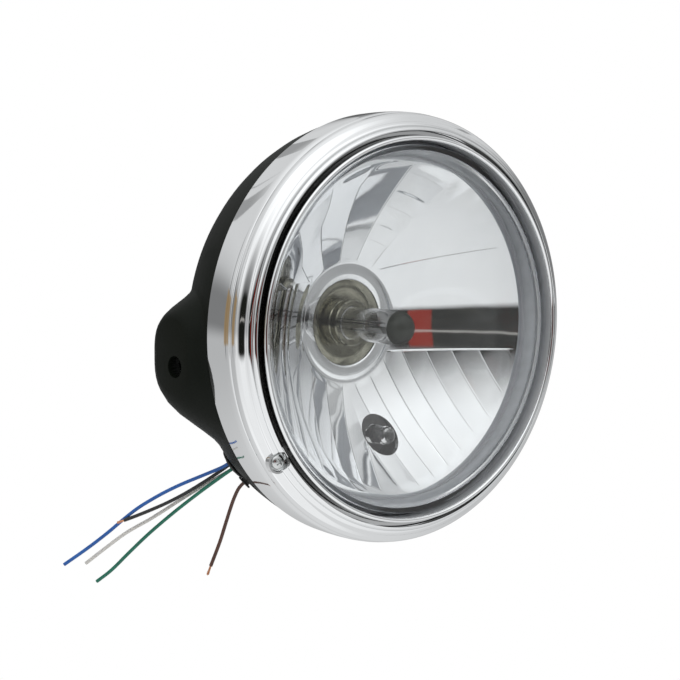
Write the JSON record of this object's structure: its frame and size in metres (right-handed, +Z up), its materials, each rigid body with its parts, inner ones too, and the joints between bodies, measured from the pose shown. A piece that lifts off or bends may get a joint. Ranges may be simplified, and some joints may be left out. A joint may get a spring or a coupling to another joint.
{
  "type": "motorcycle headlight",
  "caption": "Round side-mounted motorcycle headlight with a stepped chrome rim, clear domed lens, faceted reflector, two-filament bulb and a deep black bucket with loose wires.",
  "frame": {"origin": "middle of the axis through the two side mounting bolts", "axes": "+Z up as fitted, the lamp shines along -Y, -X is the left side seen from the front"},
  "size_m": [0.2187, 0.1402, 0.23],
  "materials": {
    "bucket_black": "semi-matt moulded black with a faint green cast",
    "rim_chrome": "bright chrome plate",
    "lens_glass": "clear and polished",
    "reflector_metal": "bright metallised skin over moulded plastic",
    "bulb_glass": "clear and thin",
    "bulb_cap": "dull plated",
    "zinc_plate": "bright zinc plate",
    "ring_steel": "dull zinc plate",
    "spring_steel": "drawn wire",
    "filament": "drawn wire",
    "nut_nylon": "natural moulded nylon",
    "holder_plastic": "moulded",
    "plug_plastic": "moulded",
    "seal_silicone": "translucent grey, soft",
    "seal_rubber": "soft and matt",
    "grommet_rubber": "soft and matt",
    "wire_blue": "soft sheath",
    "wire_black": "soft sheath",
    "wire_white": "soft sheath",
    "wire_green": "soft sheath",
    "wire_brown": "soft sheath",
    "bare_copper": "bare twisted strands"
  },
  "bodies": {
    "housing": {"bucket": "bucket_black", "side_nut_left": "zinc_plate", "side_nut_right": "zinc_plate", "chrome_rim": "rim_chrome", "rim_screw": "zinc_plate", "rim_nut": "zinc_plate", "adjusting_spring": "spring_steel", "wire_grommet": "grommet_rubber", "brown_wire_bush": "grommet_rubber", "inner_wires": "wire_black", "wire_blue": "wire_blue", "wire_black": "wire_black", "wire_white": "wire_white", "wire_green": "wire_green", "wire_brown": "wire_brown", "copper_black": "bare_copper", "copper_brown": "bare_copper"},
    "beam_unit": {"adjusting_nut": "nut_nylon", "pivot_stud_top": "zinc_plate", "pivot_stud_bottom": "zinc_plate", "mounting_ring": "ring_steel", "lens_clip_top_left": "spring_steel", "lens_clip_top_right": "spring_steel", "lens_clip_bottom": "spring_steel", "lens": "lens_glass", "lens_seal": "seal_silicone", "reflector": "reflector_metal", "bulb_glass": "bulb_glass", "bulb_shield": "ring_steel", "main_filament": "filament", "dip_filament": "filament", "bulb_base": "bulb_cap", "bulb_terminals": "bulb_cap", "bulb_clip": "spring_steel", "dust_boot": "seal_rubber", "bulb_plug": "plug_plastic", "parking_bulb": "bulb_glass", "parking_holder": "holder_plastic"},
    "adjuster": {"adjusting_screw": "zinc_plate"}
  },
  "joints": [
    {"name": "beam_swing", "type": "hinge", "parent": "housing", "child": "beam_unit", "pos_m": [0, -0.0315, 0.014], "axis": [0, 0, 1], "range_deg": [-1.5, 1.5], "deforming": ["adjusting_spring", "inner_wires"]},
    {"name": "adjuster_turn", "type": "hinge", "parent": "housing", "child": "adjuster", "pos_m": [-0.0795, -0.0395, -0.0415], "axis": [0, 1, 0], "range_deg": [-1080, 1080]}
  ],
  "couplings": [
    {"joint": "adjuster_turn", "follows": "beam_swing", "ratio": 713.59}
  ]
}
